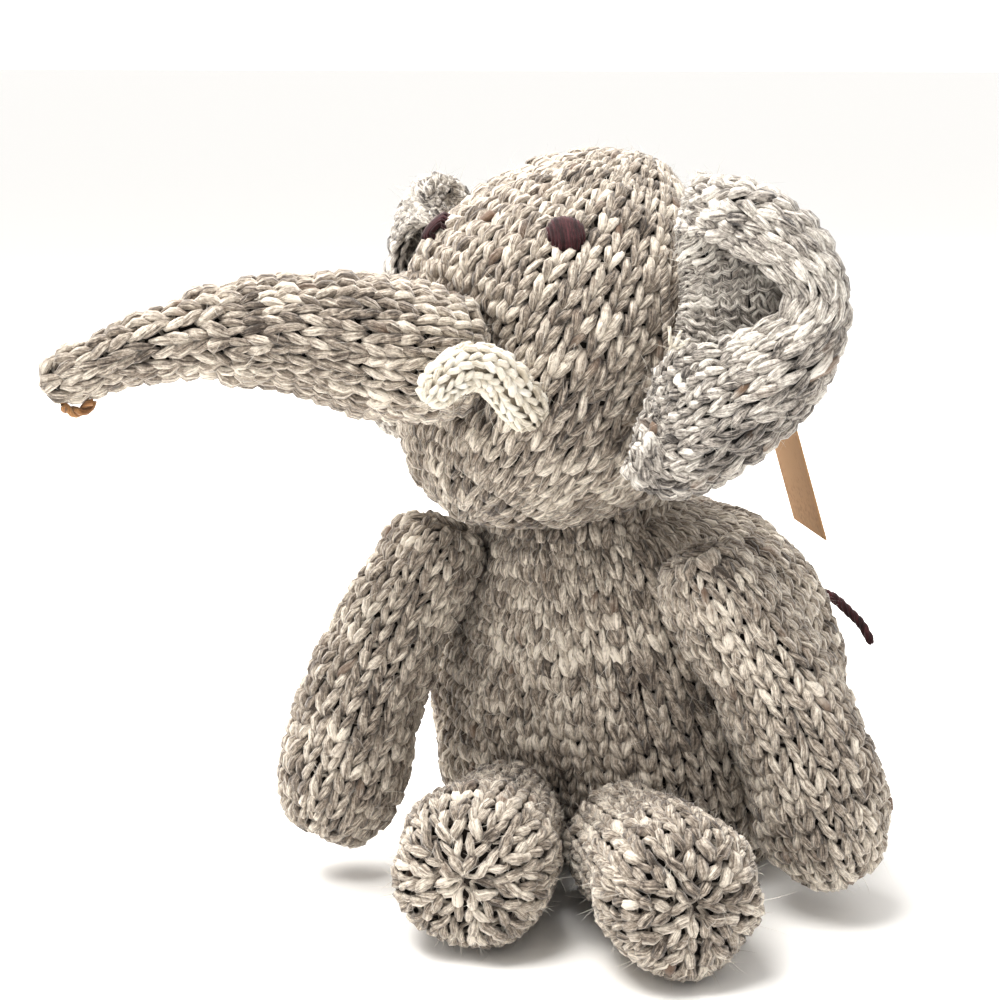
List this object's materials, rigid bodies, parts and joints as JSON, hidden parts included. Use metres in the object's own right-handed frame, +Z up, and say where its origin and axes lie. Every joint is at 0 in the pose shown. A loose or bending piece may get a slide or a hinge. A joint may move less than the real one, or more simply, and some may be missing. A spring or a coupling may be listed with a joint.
{
  "type": "stuffed elephant",
  "caption": "Hand-knitted wool elephant that sits, with a long trunk, cupped ears, tusks and floppy limbs that swing at their seams.",
  "frame": {"origin": "middle of the flat seat that the elephant sits on, at table height", "axes": "-Y is the way its chest faces, +X is its left side, +Z is up"},
  "size_m": [0.1946, 0.2045, 0.2002],
  "materials": {
    "knit_wool": "matte",
    "ear_wool": "matte",
    "sewing_yarn": "matte",
    "stuffing": "matte",
    "tusk_wool": "matte",
    "eye_thread": "satin",
    "tail_thread": "satin",
    "tag_card": "matte",
    "tag_thread": "matte"
  },
  "bodies": {
    "torso": {"torso_cover": "knit_wool", "torso_stuffing": "stuffing", "tag_loop": "tag_thread"},
    "neck": {"neck_seam_yarn": "sewing_yarn"},
    "head": {"head_cover": "knit_wool", "head_stuffing": "stuffing", "left_eye": "eye_thread", "right_eye": "eye_thread", "left_ear_yarn": "sewing_yarn", "right_ear_yarn": "sewing_yarn"},
    "trunk_root": {"trunk_seam_yarn": "sewing_yarn"},
    "trunk": {"trunk_cover": "knit_wool", "trunk_stuffing": "stuffing"},
    "left_arm": {"left_shoulder_yarn": "sewing_yarn", "left_arm_cover": "knit_wool", "left_arm_stuffing": "stuffing"},
    "right_arm": {"right_shoulder_yarn": "sewing_yarn", "right_arm_cover": "knit_wool", "right_arm_stuffing": "stuffing"},
    "left_leg": {"left_hip_yarn": "sewing_yarn", "left_leg_cover": "knit_wool", "left_leg_stuffing": "stuffing"},
    "right_leg": {"right_hip_yarn": "sewing_yarn", "right_leg_cover": "knit_wool", "right_leg_stuffing": "stuffing"},
    "left_ear": {"left_ear": "ear_wool"},
    "right_ear": {"right_ear": "ear_wool"},
    "left_tusk": {"left_tusk": "tusk_wool"},
    "right_tusk": {"right_tusk": "tusk_wool"},
    "tail": {"tail": "tail_thread"},
    "tag": {"swing_tag": "tag_card"}
  },
  "joints": [
    {"name": "head_turn", "type": "hinge", "parent": "torso", "child": "neck", "pos_m": [-0.01, -0.02, 0.1022], "axis": [0, 0, 1], "range_deg": [-35, 35], "stiffness_Nm_per_rad": 0.06},
    {"name": "head_nod", "type": "hinge", "parent": "neck", "child": "head", "pos_m": [-0.01, -0.02, 0.1202], "axis": [0.9272, -0.3746, 0], "range_deg": [-5, 3], "stiffness_Nm_per_rad": 0.6},
    {"name": "trunk_swing", "type": "hinge", "parent": "head", "child": "trunk_root", "pos_m": [-0.02781, -0.07743, 0.14916], "axis": [-0.0326, -0.0808, 0.9962], "range_deg": [-4, 10], "stiffness_Nm_per_rad": 0.25},
    {"name": "trunk_lift", "type": "hinge", "parent": "trunk_root", "child": "trunk", "pos_m": [-0.02781, -0.07743, 0.14916], "axis": [-0.6144, 0.789, 0], "range_deg": [-6, 12], "stiffness_Nm_per_rad": 0.4},
    {"name": "left_arm_raise", "type": "hinge", "parent": "torso", "child": "left_arm", "pos_m": [0.04188, -0.0439, 0.08603], "axis": [0.2834, -0.959, 0], "range_deg": [0, 70]},
    {"name": "right_arm_raise", "type": "hinge", "parent": "torso", "child": "right_arm", "pos_m": [-0.04502, -0.04424, 0.08455], "axis": [-0.88, 0.4749, 0], "range_deg": [0, 70]},
    {"name": "left_leg_raise", "type": "hinge", "parent": "torso", "child": "left_leg", "pos_m": [0.0245, -0.06004, 0.018], "axis": [-0.7314, -0.682, 0], "range_deg": [-50, 20]},
    {"name": "right_leg_raise", "type": "hinge", "parent": "torso", "child": "right_leg", "pos_m": [-0.0125, -0.06004, 0.018], "axis": [-0.9563, -0.2924, 0], "range_deg": [-50, 20]},
    {"name": "left_ear_flap", "type": "hinge", "parent": "head", "child": "left_ear", "pos_m": [0.0296, -0.04772, 0.15947], "axis": [0.0586, 0.145, 0.9877], "range_deg": [-8, 22], "stiffness_Nm_per_rad": 0.03},
    {"name": "right_ear_flap", "type": "hinge", "parent": "head", "child": "right_ear", "pos_m": [-0.05774, -0.01243, 0.15947], "axis": [-0.0586, -0.145, -0.9877], "range_deg": [-8, 22], "stiffness_Nm_per_rad": 0.03},
    {"name": "left_tusk_bend", "type": "hinge", "parent": "head", "child": "left_tusk", "pos_m": [0.00611, -0.07369, 0.1315], "axis": [0.0326, 0.0808, -0.9962], "range_deg": [-6, 8], "stiffness_Nm_per_rad": 0.01},
    {"name": "right_tusk_bend", "type": "hinge", "parent": "head", "child": "right_tusk", "pos_m": [-0.05889, -0.04743, 0.1315], "axis": [-0.0326, -0.0808, 0.9962], "range_deg": [-6, 8], "stiffness_Nm_per_rad": 0.01},
    {"name": "tail_swing", "type": "hinge", "parent": "torso", "child": "tail", "pos_m": [0.01606, 0.04917, 0.06354], "axis": [0, 0, 1], "range_deg": [-8, 20], "stiffness_Nm_per_rad": 0.004},
    {"name": "tag_swing", "type": "hinge", "parent": "torso", "child": "tag", "pos_m": [0.02666, 0.0405, 0.12], "axis": [-0.6157, 0.788, 0], "range_deg": [-12, 8]}
  ]
}
